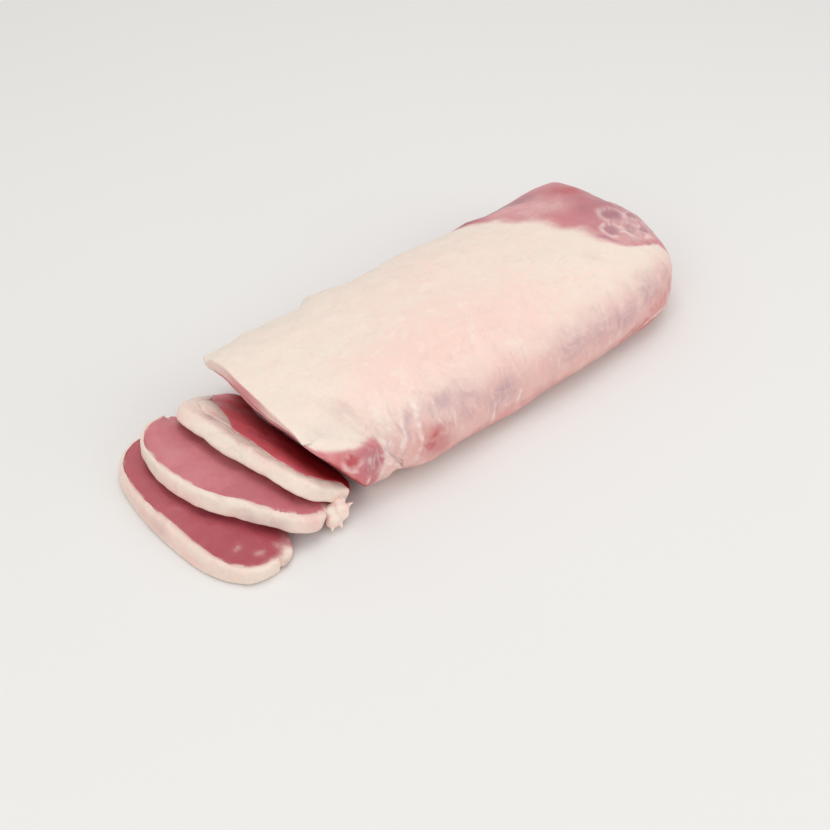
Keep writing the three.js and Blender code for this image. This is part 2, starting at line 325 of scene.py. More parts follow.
class Reading:
    # a value in a material; sums on it become maths nodes
    def __init__(self, finish, socket):
        self.finish = finish
        self.socket = socket

    def sum(self, operation, first, second):
        node = self.finish.node("ShaderNodeMath", {"operation": operation}, {0: first, 1: second})
        return Reading(self.finish, node.outputs[0])

    def __add__(self, other):
        return self.sum("ADD", self, other)

    def __radd__(self, other):
        return self.sum("ADD", other, self)

    def __sub__(self, other):
        return self.sum("SUBTRACT", self, other)

    def __rsub__(self, other):
        return self.sum("SUBTRACT", other, self)

    def __mul__(self, other):
        return self.sum("MULTIPLY", self, other)

    def __rmul__(self, other):
        return self.sum("MULTIPLY", other, self)

    def between(self, low, high):
        # 0 at low, 1 at high, eased
        inputs = {"Value": self, "From Min": low, "From Max": high}
        node = self.finish.node("ShaderNodeMapRange", {"interpolation_type": "SMOOTHSTEP"}, inputs)
        return Reading(self.finish, node.outputs[0])


class Finish:
    # a material under construction
    def __init__(self, name):
        self.material = bpy.data.materials.new(name)
        self.material.use_nodes = True
        self.nodes = self.material.node_tree.nodes
        self.links = self.material.node_tree.links
        self.nodes.clear()
        self.surface = self.node("ShaderNodeBsdfPrincipled")
        self.node("ShaderNodeOutputMaterial", {}, {"Surface": self.surface.outputs[0]})
        self.place = self.node("ShaderNodeTexCoord").outputs["Object"]

    def feed(self, socket, value):
        if isinstance(value, Reading):
            value = value.socket
        if isinstance(value, bpy.types.NodeSocket):
            self.links.new(value, socket)
        else:
            socket.default_value = value

    def node(self, kind, settings=None, inputs=None):
        made = self.nodes.new(kind)
        for name, value in (settings or {}).items():
            setattr(made, name, value)
        for name, value in (inputs or {}).items():
            self.feed(made.inputs[name], value)
        return made

    def set(self, **values):
        for name, value in values.items():
            self.feed(self.surface.inputs[name.replace("_", " ")], value)

    def stretched(self, scale, turn=(0, 0, 0)):
        inputs = {"Vector": self.place, "Scale": scale, "Rotation": turn}
        return self.node("ShaderNodeMapping", {}, inputs).outputs[0]

    def noise(self, size, detail=3.0, roughness=0.55, warp=0.0, place=None):
        # noise with features of about that size in mm
        inputs = {
            "Vector": place or self.place,
            "Scale": 1 / (size * millimetre),
            "Detail": detail,
            "Roughness": roughness,
            "Distortion": warp,
        }
        return Reading(self, self.node("ShaderNodeTexNoise", {}, inputs).outputs[0])

    def painted(self, name):
        return Reading(self, self.node("ShaderNodeAttribute", {"attribute_name": name}).outputs["Fac"])

    def mix(self, share, first, second):
        # a colour between two
        inputs = {0: share}
        for index, value in ((6, first), (7, second)):
            inputs[index] = (*value, 1) if isinstance(value, tuple) else value
        return self.node("ShaderNodeMix", {"data_type": "RGBA"}, inputs).outputs[2]

    def bump(self, height, depth):
        # depth in mm
        inputs = {"Height": height, "Distance": depth * millimetre, "Strength": 1.0}
        self.set(Normal=self.node("ShaderNodeBump", {}, inputs).outputs[0])


def shade(red, green, blue):
    # a colour as read off a screen, 0 to 255, to its linear value
    def linear(v):
        v /= 255
        return v / 12.92 if v <= 0.04045 else ((v + 0.055) / 1.055) ** 2.4
    return (linear(red), linear(green), linear(blue))


porkLook = {
    # fat
    "cream": shade(241, 225, 211),
    "rosyFat": shade(246, 212, 200),
    "whiteFat": shade(250, 238, 230),
    "dullFat": shade(220, 192, 182),
    "sideFat": shade(230, 176, 170),  # thin fat over the meat, down the sides
    # bruises, and painted shade along a crease
    "bruiseAndShade": shade(190, 156, 164),
    "fatRough": 0.5,
    # meat
    "flesh": shade(210, 130, 136),
    "deepFlesh": shade(196, 108, 118),
    "paleFlesh": shade(216, 156, 158),
    "shadeAndDarkMeat": shade(176, 78, 88),  # painted shade: meat that lies in the others' shade, partly also darker meat
    "glow": shade(252, 128, 138),  # painted light: brighter red on meat that lies in shade, as if light came through it, next to the painted shade of the hollow
    "hollowShade": shade(160, 14, 24),  # painted shade: deep red on meat under the overhang of the cut end
    "membrane": shade(234, 202, 198),
    "purple": shade(158, 96, 112),
    "salmon": shade(226, 130, 130),
    "meatRough": 0.4,
    # both
    # blood, and painted shade with a warm reflected tint along the bottom edges
    "bloodAndShade": shade(192, 82, 88),
    # the cut face: painted light along the meat's top edge, painted shade with reflected red on the fat
    "cutSideLightAndShade": shade(214, 142, 144),
}


def makePork(name, settings, roughness):
    # fat and meat run into each other, so both finishes hold both, and the painted fat chooses
    finish = Finish(name)
    ramp = (0.35, 0.65)
    broad = finish.noise(30, 2.0, 0.5, 0.5)
    patchy = finish.noise(10, 4.0, 0.6, 0.9)
    fine = finish.noise(2.0, 4.0, 0.62, 0.5)
    slanted = finish.stretched((0.7, 1.2, 1.0), (0, 0, math.radians(-28)))
    wisps = finish.noise(6, 3.0, 0.55, 1.2, slanted)
    fibres = finish.noise(1.5, 3.0, 0.6, 0.4, finish.stretched((0.3, 1.0, 1.0)))
    drawn = finish.noise(4.5, 4.0, 0.62, 0.8, finish.stretched((1.0, 0.42, 0.42)))
    streaky = finish.painted("wispy")
    blotchy = patchy.between(*ramp)

    rosy = (finish.painted("rosy") + (broad - 0.5) * 0.4 + (patchy - 0.5) * 0.35).between(0.0, 1.05)
    fat = finish.mix(rosy, settings["cream"], settings["rosyFat"])
    fat = finish.mix(wisps.between(0.54, 0.74) * 0.3, fat, settings["whiteFat"])
    fat = finish.mix(wisps.between(0.44, 0.28) * 0.22, fat, settings["dullFat"])
    fat = finish.mix(finish.painted("side") * (0.7 + 0.6 * (patchy - 0.2)), fat, settings["sideFat"])
    # bruises, and painted shade along the crease on the bare end
    fat = finish.mix(finish.painted("bruiseAndShade") * (0.45 + blotchy * 0.75), fat, settings["bruiseAndShade"])
    fat = finish.mix(streaky * drawn.between(0.5, 0.3) * 0.5, fat, settings["bruiseAndShade"])
    fat = finish.mix(streaky * drawn.between(0.54, 0.7) * 0.6, fat, settings["whiteFat"])

    depth = (broad * 0.6 + patchy * 0.5).between(0.4, 0.75)
    meat = finish.mix(depth, settings["flesh"], settings["deepFlesh"])
    meat = finish.mix(patchy.between(0.52, 0.75) * 0.3, meat, settings["paleFlesh"])
    meat = finish.mix(fine.between(0.58, 0.75) * 0.25, meat, settings["paleFlesh"])
    # painted shade, partly darker meat
    meat = finish.mix(finish.painted("shadeAndDarkMeat"), meat, settings["shadeAndDarkMeat"])
    # bruises, and painted shade along the crease on the bare end
    meat = finish.mix(finish.painted("bruiseAndShade") * 0.9, meat, settings["purple"])
    meat = finish.mix(finish.painted("salmon"), meat, settings["salmon"])
    veil = finish.painted("veil") * (0.6 + 0.3 * blotchy + 0.2 * fibres.between(*ramp))
    veil = veil + streaky * drawn.between(0.5, 0.7) * 0.5
    meat = finish.mix(veil, meat, settings["membrane"])
    hollowShade = finish.painted("hollowShade")
    # painted light: brighter red on meat that lies in shade
    meat = finish.mix(finish.painted("glow"), meat, settings["glow"])
    # painted shade: deep red where the meat lies under the overhang
    meat = finish.mix(hollowShade, meat, settings["hollowShade"])

    ragged = (patchy - 0.5) * 0.5 * finish.painted("mingled")
    colour = finish.mix((finish.painted("fat") + ragged).between(0.1, 0.9), meat, fat)
    # painted light and painted shade on the cut face
    colour = finish.mix(finish.painted("cutSideLightAndShade"), colour, settings["cutSideLightAndShade"])
    # blood, and painted shade with a warm reflected tint along the loin's bottom edges
    bloodAndShade = finish.painted("bloodAndShade") * (0.6 + patchy.between(0.3, 0.65) * 0.6)
    colour = finish.mix(bloodAndShade, colour, settings["bloodAndShade"])
    # pale strands and films, and on the cap's wrinkles a painted highlight
    colour = finish.mix(finish.painted("strandAndHighlight") * 0.75, colour, settings["whiteFat"])
    finish.set(Base_Color=colour, Roughness=fine * 0.24 + (roughness - 0.12) + hollowShade * 0.3,
               Subsurface_Weight=0.22, Subsurface_Radius=(1.0, 0.35, 0.28), Subsurface_Scale=0.003,
               Specular_IOR_Level=0.4, Coat_Weight=0.14 - hollowShade * 0.14, Coat_Roughness=0.25)
    grain = finish.noise(0.8, 2.0)
    finish.bump(fine * 0.5 + wisps * 0.5 + drawn * streaky * 0.7 + grain * 0.15, 0.4)
    return finish.material


# camera, light and floor

view = {
    "place": (-0.38864, -0.43163, 0.476),
    "tilt": 49,
    "turn": -41.75,
    "lens": 55.95,
    "sensor": 36,
}


def setUpView(settings):
    deselectAll()
    turn = (math.radians(settings["tilt"]), 0, math.radians(settings["turn"]))
    bpy.ops.object.camera_add(location=settings["place"], rotation=turn)
    camera = bpy.context.object
    camera.name = "camera"
    camera.data.lens = settings["lens"]
    camera.data.sensor_width = settings["sensor"]
    camera.data.clip_start = 0.01
    bpy.context.scene.camera = camera


lighting = {
    "sky": (1.0, 0.99, 0.98),
    "skyStrength": 0.66,
    # name, place, what it points at, size, power
    "lamps": [
        ("key", (0.1, 0.1, 1.3), (0, 0, 0.02), 0.9, 4.5),
        ("frontFill", (0.6, -1.0, 0.6), (0.05, 0, 0.02), 0.9, 2.9),
        ("slicesFill", (-1.0, -0.45, 0.6), (-0.1, 0, 0.02), 0.7, 2.3),
    ],
}


def setUpLight(settings):
    world = bpy.data.worlds.new("studio")
    world.use_nodes = True
    backdrop = world.node_tree.nodes["Background"]
    backdrop.inputs[0].default_value = (*settings["sky"], 1)
    backdrop.inputs[1].default_value = settings["skyStrength"]
    bpy.context.scene.world = world
    for name, place, target, size, power in settings["lamps"]:
        deselectAll()
        turn = (Vector(target) - Vector(place)).to_track_quat("-Z", "Y").to_euler()
        bpy.ops.object.light_add(type="AREA", location=place, rotation=turn)
        lamp = bpy.context.object
        lamp.name = name
        lamp.data.size = size
        lamp.data.energy = power
    bpy.context.scene.view_settings.view_transform = "Standard"


ground = {
    "size": 8,
    "height": -0.0002,  # just under the meat
    "pale": (0.84, 0.83, 0.81),
    "duller": (0.8, 0.79, 0.77),
    "rough": 0.8,
}


def makeFloor(settings):
    deselectAll()
    bpy.ops.mesh.primitive_plane_add(size=settings["size"], location=(0, 0, settings["height"]))
    floor = bpy.context.object
    floor.name = "floor"
    finish = Finish("paleFloor")
    colour = finish.mix(finish.noise(300) * 0.3, settings["pale"], settings["duller"])
    finish.set(Base_Color=colour, Roughness=settings["rough"])
    floor.data.materials.append(finish.material)


setUpView(view)
setUpLight(lighting)
makeFloor(ground)
porkFat = makePork("porkFat", porkLook, porkLook["fatRough"])
porkMeat = makePork("porkMeat", porkLook, porkLook["meatRough"])
print("camera, light, floor and finishes are set")


# where fat ends on the loin; angles are seen from its axis: 0 is its front, 90 its top, 180 its back

fatReach = {
    "axisHeight": 18,
    # (angle, how far along the loin the fat reaches)
    "farEnd": [
        (-40, 176), (10, 172), (16, 168), (26, 164), (31, 160), (35, 149), (39, 140), (44, 132),
        (51, 128), (58, 125), (68, 124), (80, 123), (85, 118), (92, 113.5), (109, 113), (117, 109),
        (128, 101), (139, 95), (147, 84), (153, 75), (160, 64), (200, 62),
    ],
    # (angle, softness in mm) of that end
    "farSoftness": [(20, 4), (40, 5), (55, 8), (75, 13)],
    # (place along the loin, the angle above which there is fat) near the cut
    "nearCorner": [(-120, 33), (-112, 28), (-107, 24.5), (-99, 21), (-91, 20), (-85, 19.8), (-76, 18)],
    "nearSoftness": 7,
    # (angle, the place along the loin up to which the meat is bare)
    "bareTo": [(-20, -87), (0, -83), (13, -78), (25, -76)],
    "bareSoftness": 3,
}


def angleOf(points):
    # -90 to 270 degrees
    angle = np.degrees(np.arctan2(points[:, 2] - fatReach["axisHeight"], -points[:, 1]))
    return np.where(angle < -90, angle + 360, angle)


def along(values, table):
    # reads a table of pairs at some values
    first, second = zip(*table)
    return np.interp(values, first, second)


def fatShare(points, settings):
    # 1 in the fat, 0 on bare meat
    angle = angleOf(points)
    drift = 2.5 * lumps(points, 11, 91) + 1.2 * lumps(points, 4, 92)
    x = points[:, 0] + drift
    softness = 2 * along(angle, settings["farSoftness"])
    far = smooth(0.5 + (along(angle, settings["farEnd"]) - x) / softness)
    under = along(x, settings["nearCorner"]) - angle + 0.6 * drift
    bare = along(angle, settings["bareTo"]) - x
    low = smooth(0.5 + under / settings["nearSoftness"])
    near = low * smooth(0.5 + bare / settings["bareSoftness"])
    return far * (1 - near)


# the loin

loinShape = {
    # (size, height, seed) in mm
    "drift": [(30, 1.0, 2), (10, 0.55, 12)],
    "relief": [(14, 0.4, 11), (5, 0.15, 23)],
    "meatRelief": [(4, 0.15, 29)],  # on the meat alone
    # (place, radius, move)
    "bulges": [
        ((-80, 57, 43), (9, 7, 7), (0, 0.8, 2.0)), ((-98, 53, 45), (8, 7, 7), (0, -1.2, -2.0)),
        ((-60, 56, 43), (6, 6, 6), (0, 0.5, 0.8)), ((168, -6, 44), (16, 16, 14), (1.5, 0.5, 3.2)),
    ],
    "backCorner": ((-112, 46, 44), (6, 6, 6), (-1.8, -1.0, -4.0)),
    # patches that are evened out: a line, how far beside it, above which height, how often
    "folds": [
        ([(-92, -8, 52), (-75, -54, 41)], 8, 32, 60),
        ([(-76, -52, 42), (-72, -60, 33), (-68, -63, 23), (-66, -63, 15)], 6, 12, 40),
    ],
    # the cut end: from which slope of its normals, and up to which place along the loin
    "capCut": (0.45, -95),
    "meatCut": (0.4, -60),
}

# how the meat is raised to the fat's edge, in mm
fatEdge = {
    "most": 2.0,
    "reach": 9,  # from the cap's skin
    "depth": 6,  # the meat looked for under the cap
    "cover": 12,  # meat with the cap above it within this is covered
    "beside": 2.8,  # past the cap's closest part, where its height is read
    "coveredFade": (1.5, 3),  # from where, over how much
    "openFade": (2, 6),
    "corner": (-113, 4),  # not past here along the loin, the back corner keeps its form
}

loinPaint = {
    # (place, radius, strength) in mm
    "rosy": [
        ((-15, -34, 50), (66, 28, 18), 0.85), ((35, -36, 50), (50, 26, 18), 0.6),
        ((-60, -34, 50), (30, 18, 14), 0.45), ((15, 18, 53), (66, 30, 14), 0.45),
        ((90, 8, 53), (22, 16, 10), 0.25), ((150, -48, 36), (12, 12, 14), 0.3),
        ((100, -44, 44), (30, 14, 12), 0.25),
    ],
    "bruiseAndShade": [
        ((-40, -59, 40), (18, 10, 5), 0.5), ((-24, -64, 32), (16, 10, 8), 0.5),
        ((4, -64, 25), (11, 10, 8), 0.8), ((56, -65, 30), (14, 10, 8), 0.65),
        ((78, -64, 30), (15, 10, 8), 0.55), ((102, -63, 28), (14, 10, 9), 0.6),
        ((128, -60, 33), (11, 10, 10), 0.65), ((-61, -58, 38), (5, 8, 5), 0.45),
        ((-76, -60, 29), (4, 6, 8), 0.5), ((-104, -42, 44), (9, 7, 6), 0.25),
        ((108, -30, 50), (5, 3, 4), 0.2), ((150, -52, 30), (9, 8, 8), 0.5),
        ((-83, -35, 45), (9, 8, 5), 0.3), ((34, 64, 28), (16, 10, 8), 0.6),
        ((-38, 62, 24), (18, 10, 8), 0.6), ((-2, 64, 32), (14, 8, 6), 0.4),
        ((-84, 58, 22), (12, 10, 8), 0.4),
    ],
    # blood spots; the long low bands along the bottom edges are painted shade with a warm reflected
    # tint near the floor
    "bloodAndShade": [
        ((137, -61, 20), (12, 8, 9), 0.6), ((122, -63, 13), (11, 8, 5), 0.65),
        ((151, 30, 50), (13, 6, 8), 0.45), ((120, -62, 8), (44, 8, 5), 0.5),
        ((40, -64, 10), (50, 8, 5), 0.3), ((-30, -64, 9), (40, 8, 4), 0.35),
        ((152, -54, 22), (11, 9, 10), 0.4), ((156, 33, 49), (16, 5, 5), 0.6),
        ((164, -52, 14), (8, 10, 7), 0.7), ((0, 62, 8), (60, 8, 5), 0.35),
        ((-60, 60, 14), (10, 8, 6), 0.5),
    ],
    "redSpot": [((-49, -66, 24), (9, 10, 9), 0.85), ((-43, -66, 15), (8, 9, 6), 0.45)],
    "wispy": [
        ((-68, -58, 32), (20, 14, 22), 1.0), ((-40, -62, 30), (16, 12, 18), 0.8),
        ((-85, -58, 28), (8, 10, 16), 0.9), ((20, -62, 28), (50, 14, 20), 0.5),
        ((100, -60, 26), (50, 14, 18), 0.5), ((-30, -45, 46), (50, 12, 8), 0.35),
        ((-30, 62, 26), (60, 14, 18), 0.5),
    ],
    "salmon": [
        ((-108, -42, 36), (12, 12, 10), 0.8), ((-98, -52, 26), (10, 9, 12), 0.75),
        ((-88, -58, 12), (9, 9, 9), 0.6), ((-111, 42, 39), (6, 10, 5), 0.9),
    ],
    # painted shade on the meat, partly darker meat
    "shadeAndDarkMeat": [
        ((152, 18, 50), (24, 26, 10), 0.4), ((-94, -56, 24), (12, 8, 10), 0.5),
        ((-99, -52, 33), (9, 9, 8), 0.4),
    ],
    "veil": [
        ((-103, -49, 39), (10, 6, 3), 0.3), ((-88, -59, 30), (4, 5, 6), 0.25),
        ((121, 27, 52), (16, 10, 8), 0.65), ((104, 42, 48), (16, 9, 8), 0.5),
        ((140, -32, 48), (16, 7, 8), 0.5), ((152, -22, 49), (22, 12, 10), 0.4),
        ((145, 5, 48), (50, 50, 26), 0.12), ((134, 22, 52), (10, 9, 6), 0.3),
    ],
    "meatBruise": [
        ((145, 0, 52), (22, 18, 12), 0.3), ((152, -18, 49), (20, 12, 9), 0.3),
        ((92, 52, 44), (26, 7, 12), 0.9), ((114, 52, 43), (16, 8, 8), 0.95),
        ((124, 43, 47), (12, 6, 6), 0.8), ((140, 8, 53), (4, 3, 3), 0.6),
        ((160, 8, 48), (5, 6, 4), 0.4), ((168, 8, 42), (10, 26, 10), 0.3),
        ((-86, -60, 28), (6, 8, 9), 0.75), ((-87, -59, 14), (6, 7, 6), 0.5),
    ],
}

strands = [
    # (corners of a line, width, height) in mm
    ([(-70, -42, 48), (-75, -54, 40), (-75, -57, 30), (-80, -62, 24), (-83, -61, 12)], 1.6, 1.0),
    ([(-66, -48, 46), (-71, -56, 38), (-72, -60, 30), (-77, -63, 20), (-80, -62, 8)], 1.1, 0.6),
    ([(-43, -40, 49), (-53, -54, 43), (-56, -63, 34), (-57, -65, 24), (-61, -64, 13)], 1.2, 0.6),
    ([(-56, -45, 47), (-62, -55, 42), (-65, -61, 35), (-67, -63, 27), (-70, -62, 18)], 1.1, 0.6),
    ([(-60, -58, 40), (-61, -63, 30), (-66, -64, 20), (-68, -63, 9)], 0.6, 0.4),
    ([(-70, -62, 20), (-75, -62, 17), (-79, -62, 10)], 0.9, 0.5),
    ([(-88, -56, 33), (-85, -60, 28), (-87, -61, 22)], 0.7, 0.5),
    ([(-92, -58, 24), (-88, -60, 19), (-90, -59, 12)], 0.7, 0.5),
    ([(-6, -63, 32), (-3, -65, 21), (-6, -65, 9)], 0.7, 0.5),
    ([(13, -60, 30), (16, -65, 21), (12, -65, 10)], 0.8, 0.7),
    ([(30, -62, 30), (36, -65, 20), (33, -65, 11)], 0.6, 0.4),
    ([(154, -56, 24), (146, -60, 12), (133, -63, 14), (116, -63, 9)], 1.0, 0.7),
]

wrinkles = [
    ([(24, 4, 53), (17, -16, 53), (11, -27, 51), (5, -37, 49), (1, -46, 46), (-4, -53, 42)], 1.3, -0.4),
    ([(27, 2, 53), (20, -16, 53), (14, -27, 51), (8, -37, 49), (4, -46, 46)], 1.4, 0.35),
    ([(60, -20, 52), (52, -37, 49), (52, -43, 47)], 1.3, -0.5),
    ([(-14, -12, 53), (-16, -27, 51), (-14, -34, 50)], 1.2, -0.4),
    ([(17, -42, 48), (13, -52, 43)], 1.1, -0.4),
    ([(-87, -15, 51), (-88, -27, 49)], 1.0, 0.45),
    ([(-84, -26, 49), (-87, -39, 46)], 1.0, 0.45),
    ([(-34, 12, 53), (-37, -4, 53)], 1.2, -0.4),
    ([(2, -5, 53), (-2, -15, 53)], 1.1, -0.35),
    ([(-40, -28, 51), (-50, -46, 47), (-56, -58, 41)], 1.4, -0.4),
    ([(-92, 33, 50), (-78, 14, 53), (-66, 6, 53)], 1.0, 0.35),
    ([(-98, 10, 51), (-84, 2, 53)], 1.0, -0.3),
]

# (place, radius) in mm of the films on the bare end, and at the near corner
ringsOnEnd = [
    ((150, -8, 51), 8.5), ((164, -13, 47), 5.5), ((137, -20, 52), 6), ((150, -24, 49), 6),
    ((167, -1, 47), 4.5), ((169, -23, 41), 4.5), ((161, -26, 45), 4.5), ((174, -11, 40), 4),
]
ringAtCorner = [((-96, -57, 32), 4.8)]
lineOnEnd = [([(146, -31, 47), (158, -33, 43), (167, -33, 37)], 1.2, 0.6)]
# a crease on the bare end: a groove, with painted shade along it
creaseOnEnd = [
    ([(124, -8, 53), (127, -20, 52), (134, -29, 50), (152, -36, 44), (166, -37, 36)], 1.3, -0.35),
]


def cutShare(piece, slope, farthest):
    # 1 on the cut end, 0 elsewhere
    facing = smooth((-directions(piece)[:, 0] - slope) / 0.2)
    return facing * smooth((farthest - places(piece)[:, 0]) / 4)


def paintLoin(piece, onMeat, uncut=1):
    # what the cap and the meat share; uncut is 0 on the cut end; returns the points and their red
    points = places(piece)
    angle = angleOf(points)
    share = fatShare(points, fatReach)
    if onMeat:
        # thin fat runs on below the cap, down the front and the back
        front = smooth((38 - angle) / 6) * smooth((-points[:, 1] - 22) / 6)
        back = smooth((angle - 150) / 6) * smooth((points[:, 1] - 22) / 6)
        share = share * np.maximum(front + back, smooth((points[:, 0] - 112) / 6))
    share = share * uncut
    tint(piece, "fat", share)
    tint(piece, "mingled", 1 - abs(2 * share - 1))
    side = smooth((34 - angle + 5 * lumps(points, 14, 93)) / 30) * smooth((points[:, 0] + 95) / 20)
    back = smooth((angle - 152 + 5 * lumps(points, 14, 94)) / 30)
    tint(piece, "side", np.maximum(side, back) * 0.9)
    for name, seed, ragged in (("rosy", 51, 4), ("veil", 71, 4), ("wispy", 73, 4), ("salmon", 75, 2)):
        tint(piece, name, spotted(points, loinPaint[name], seed, ragged))
    red = spotted(points, loinPaint["bloodAndShade"], 61)
    return points, np.maximum(red, spotted(points, loinPaint["redSpot"], 63, 1.5))


def besideFat(meat, cap, settings):
    # raises the meat to the fat's edge, where the solids leave a groove
    points = places(meat)
    normals = directions(meat)
    capPoints = places(cap)[::4]
    heights = distanceTo(capPoints, skinOf(meat), settings["depth"])
    capSkin = skinOf(cap)
    capTree = treeOf(capPoints)
    closest = distanceTo(points, capSkin, settings["reach"])
    near = np.flatnonzero(closest < settings["reach"])
    cover = settings["cover"] * millimetre
    covered = np.zeros(len(points), bool)
    for i in near:
        spot = Vector(points[i]) * millimetre
        covered[i] = capSkin.ray_cast(spot, Vector(normals[i]), cover)[0] is not None
    openTree = treeOf(points[~covered])
    lift = np.zeros(len(points))
    for i in near:
        around = capTree.find_range(points[i], closest[i] + settings["beside"])
        tallest = max((heights[j] for _, j, _ in around), default=0)
        away = openTree.find(points[i])[2] if covered[i] else closest[i]
        start, run = settings["coveredFade" if covered[i] else "openFade"]
        fade = float(smooth((away - start) / run))
        lift[i] = np.clip(tallest - tuck, 0, settings["most"]) * (1 - fade)
    corner, run = settings["corner"]
    lift *= smooth((points[:, 0] - corner) / run)
    putBack(meat, points + normals * lift[:, None])


def shapeLoin(shape):
    cap = fromSolid("loin_fat_cap", "loinFatCap")
    creaseBorder(cap, lambda middle, normal: normal.x < -0.45 and middle.x < -96, 0.7)
    refine(cap, 3)
    meat = fromSolid("loin_lean", "loinMeat")
    creaseBorder(meat, lambda middle, normal: normal.x < -0.45 and middle.x < -70, 0.6)
    refine(meat, 2)
    capCut = cutShare(cap, *shape["capCut"])
    meatCut = cutShare(meat, *shape["meatCut"])
    for corners, width, height, times in shape["folds"]:
        # only the outer faces, which look up or to the front
        relax(cap, lambda middle, normal: besideLine(middle, corners) < width and middle.z > height
              and normal.z - normal.y > -0.4, times)
    besideFat(meat, cap, fatEdge)
    closeOn(cap, skinOf(meat), 0.9, capCut > 0.3)
    for piece in (cap, meat):
        for place, radius, move in shape["bulges"]:
            bulge(piece, place, radius, move)
    bulge(cap, *shape["backCorner"])
    for piece in (cap, meat):
        makeUneven(piece, shape["drift"])
        swell(piece, shape["relief"])
    swell(meat, shape["meatRelief"])
    return cap, meat, capCut, meatCut


def dressCap(cap, cut):
    folds = raiseLines(cap, wrinkles, 45)
    lines = raiseLines(cap, strands, 41)
    # the crease on the bare end: a groove, with painted shade along it
    creaseShade = raiseLines(cap, creaseOnEnd, 53)
    points, red = paintLoin(cap, False)
    tint(cap, "bloodAndShade", red)
    # on the wrinkles the pale tint is a painted highlight
    tint(cap, "strandAndHighlight", np.maximum(lines, folds * 0.3))
    tint(cap, "bruiseAndShade", np.maximum(spotted(points, loinPaint["bruiseAndShade"], 81), creaseShade * 0.8))
    # the rim on the cut gets painted shade with reflected red, strongest in the middle of the cut, and
    # pale towards its corners
    rim = 0.25 + 0.75 * smooth((30 - abs(points[:, 1] - 5)) / 30)
    tint(cap, "cutSideLightAndShade", cut * np.clip(rim, 0, 1))
    stand(cap, "loin_fat_cap", porkFat)


def dressMeat(meat, cut):
    lines = np.maximum(raiseLines(meat, strands, 41), raiseLines(meat, lineOnEnd, 47))
    # the crease on the bare end: a groove, with painted shade along it
    creaseShade = raiseLines(meat, creaseOnEnd, 53)
    outline, disc = raiseRings(meat, ringsOnEnd, 43)
    cornerOutline, cornerDisc = raiseRings(meat, ringAtCorner, 49)
    points, red = paintLoin(meat, True, 1 - smooth(cut / 0.5))
    tint(meat, "strandAndHighlight", np.clip(lines + (outline + cornerOutline) * 0.7, 0, 1))
    tint(meat, "bloodAndShade", np.clip(red + cornerDisc * 0.85, 0, 1))
    bruiseAndShade = spotted(points, loinPaint["meatBruise"], 81, 1.5)
    tint(meat, "bruiseAndShade", np.maximum(bruiseAndShade, np.maximum(disc * 0.95, creaseShade)))
    tint(meat, "shadeAndDarkMeat", spotted(points, loinPaint["shadeAndDarkMeat"], 79))
    # the cut end gets painted light along its top edge, and painted shade in deep red below
    top = smooth((points[:, 2] - 36) / 6)
    tint(meat, "cutSideLightAndShade", cut * top * 0.85)
    tint(meat, "hollowShade", smooth((cut - 0.5) / 0.5) * (1 - top))
    stand(meat, "loin_lean", porkMeat)


cap, loin, capCut, meatCut = shapeLoin(loinShape)
dressCap(cap, capCut)
dressMeat(loin, meatCut)
print("the loin and its fat cap are made")


# the slices

sliceShape = {
    "drift": [(30, 1.0, 2), (16, 0.8, 5), (6, 0.4, 15)],
    "fatRelief": [(8, 0.4, 17), (3, 0.15, 27)],
    "meatRelief": [(9, 0.3, 19), (3, 0.1, 31)],
    # (place, radius, move) by slice
    "bulges": {
        1: [
            ((-94, 46, 12), (11, 12, 14), (8, 4, 1)),  # its back end reaches under the loin
            ((-138, 35, 23), (11, 22, 13), (-3.5, 0.5, -0.5)),
            ((-137, 4, 24), (8, 16, 8), (-1.5, 0, -0.8)),
        ],
        2: [((-112, -63, 6), (8, 7, 7), (-1.5, 3, 0))],
        3: [],
    },
    # the upper slice's meat, where its fat laps over it
    "lap": ((-121, 33, 25), (7, 13, 8), (-0.3, 0, 1.4)),
}

